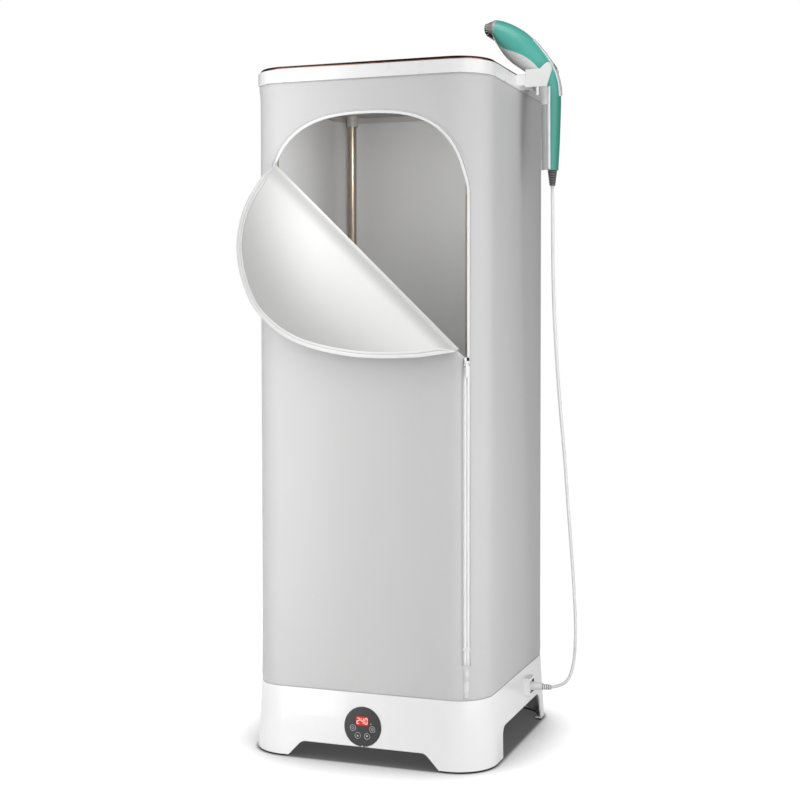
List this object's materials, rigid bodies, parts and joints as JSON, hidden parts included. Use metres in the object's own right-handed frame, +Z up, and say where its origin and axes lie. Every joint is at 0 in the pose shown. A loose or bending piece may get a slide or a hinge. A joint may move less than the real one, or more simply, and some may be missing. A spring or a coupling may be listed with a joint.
{
  "type": "portable clothes dryer with a hung garment steamer",
  "caption": "Fabric-covered drying cabinet on a heater base with a zipped front flap, a hanging rail under its lid and a handheld steamer in a side holder.",
  "frame": {"origin": "on the floor under the centre of the cabinet's footprint", "axes": "+Z up; -Y out of the front with the control panel; +X to the side that carries the steamer"},
  "size_m": [0.7305, 0.6294, 1.7426],
  "materials": {
    "base_white": "gloss",
    "liner_grey": "satin",
    "foot_rubber": "matt",
    "steel": "satin",
    "panel_black": "gloss",
    "display_red": "gloss",
    "board": "matt",
    "part_black": "satin",
    "heater_alu": "bare",
    "pole_steel": "satin",
    "rose_trim": "metallic",
    "plate_dark": "gloss",
    "cover_cloth": "satin, coated",
    "flap_cloth": "lining side, pale",
    "zip_white": "woven tape",
    "zip_metal": "satin",
    "tab_white": "satin",
    "teal": "gloss",
    "pale": "gloss",
    "tank_grey": "translucent",
    "switch_grey": "satin",
    "relief_rubber": "matt",
    "cord_white": "matt"
  },
  "bodies": {
    "cabinet": {"base_housing": "base_white", "base_deck": "liner_grey", "bottom_pan": "base_white", "rubber_feet": "foot_rubber", "case_screws": "steel", "control_panel": "panel_black", "display_window": "display_red", "touch_keys": "panel_black", "control_board": "board", "power_board": "board", "power_parts": "part_black", "side_socket": "base_white", "socket_insert": "part_black", "mains_gland": "part_black", "fan_duct": "liner_grey", "motor_bracket": "steel", "fan_motor": "steel", "ptc_heater": "heater_alu", "thermal_cutout": "part_black", "outlet_grille": "liner_grey", "poles_lower": "pole_steel", "poles_upper": "pole_steel", "pole_couplers": "base_white", "hanging_rail": "pole_steel", "rail_hangers": "base_white", "lid_liner": "liner_grey", "lid_rim": "base_white", "lid_trim_ring": "rose_trim", "lid_top_plate": "plate_dark", "cover_front": "cover_cloth", "cover_back": "cover_cloth", "cover_left": "cover_cloth", "cover_right": "cover_cloth", "zip_tape_frame": "zip_white", "zip_tape_low": "zip_white", "zip_tail": "zip_white", "zip_stops": "zip_metal", "holder_clip": "base_white", "holder_fork": "base_white", "holder_screws": "steel", "steamer_cord": "cord_white", "steamer_plug": "base_white", "plug_relief": "cord_white"},
    "flap": {"flap_panel": "flap_cloth", "flap_edge": "zip_white"},
    "slider": {"zip_slider": "zip_metal"},
    "pull_tab": {"zip_pull_tab": "tab_white"},
    "fan": {"fan_shaft": "steel", "fan_impeller": "part_black"},
    "steamer": {"steamer_teal_shell": "teal", "steamer_pale_head": "pale", "steamer_pale_grip": "pale", "steamer_water_tank": "tank_grey", "steamer_spine_strip": "pale", "brush_frame": "part_black", "steam_plate": "steel", "steam_heater": "heater_alu", "cord_relief": "relief_rubber"},
    "switch": {"thumb_switch": "switch_grey"}
  },
  "joints": [
    {"name": "flap_fold", "type": "hinge", "parent": "cabinet", "child": "flap", "pos_m": [-0.214, -0.2976, 1.368], "axis": [-0.7243, 0, 0.6895], "range_deg": [0, 180]},
    {"name": "zip_slide", "type": "slide", "parent": "cabinet", "child": "slider", "axis": [0, 0, 1], "range_m": [-0.633, 0.36]},
    {"name": "pull_swing", "type": "hinge", "parent": "slider", "child": "pull_tab", "pos_m": [0.24812, -0.28253, 0.926], "axis": [-0.8729, -0.488, 0], "range_deg": [0, 150]},
    {"name": "fan_spin", "type": "hinge", "parent": "cabinet", "child": "fan", "pos_m": [0, 0.04, 0.1], "axis": [0, 0, 1], "continuous": true},
    {"name": "steamer_lift", "type": "slide", "parent": "cabinet", "child": "steamer", "axis": [0, 0, 1], "range_m": [0, 0.09]},
    {"name": "switch_press", "type": "slide", "parent": "steamer", "child": "switch", "axis": [-0.8529, 0, -0.5222], "range_m": [0, 0.002], "stiffness_N_per_m": 300}
  ]
}
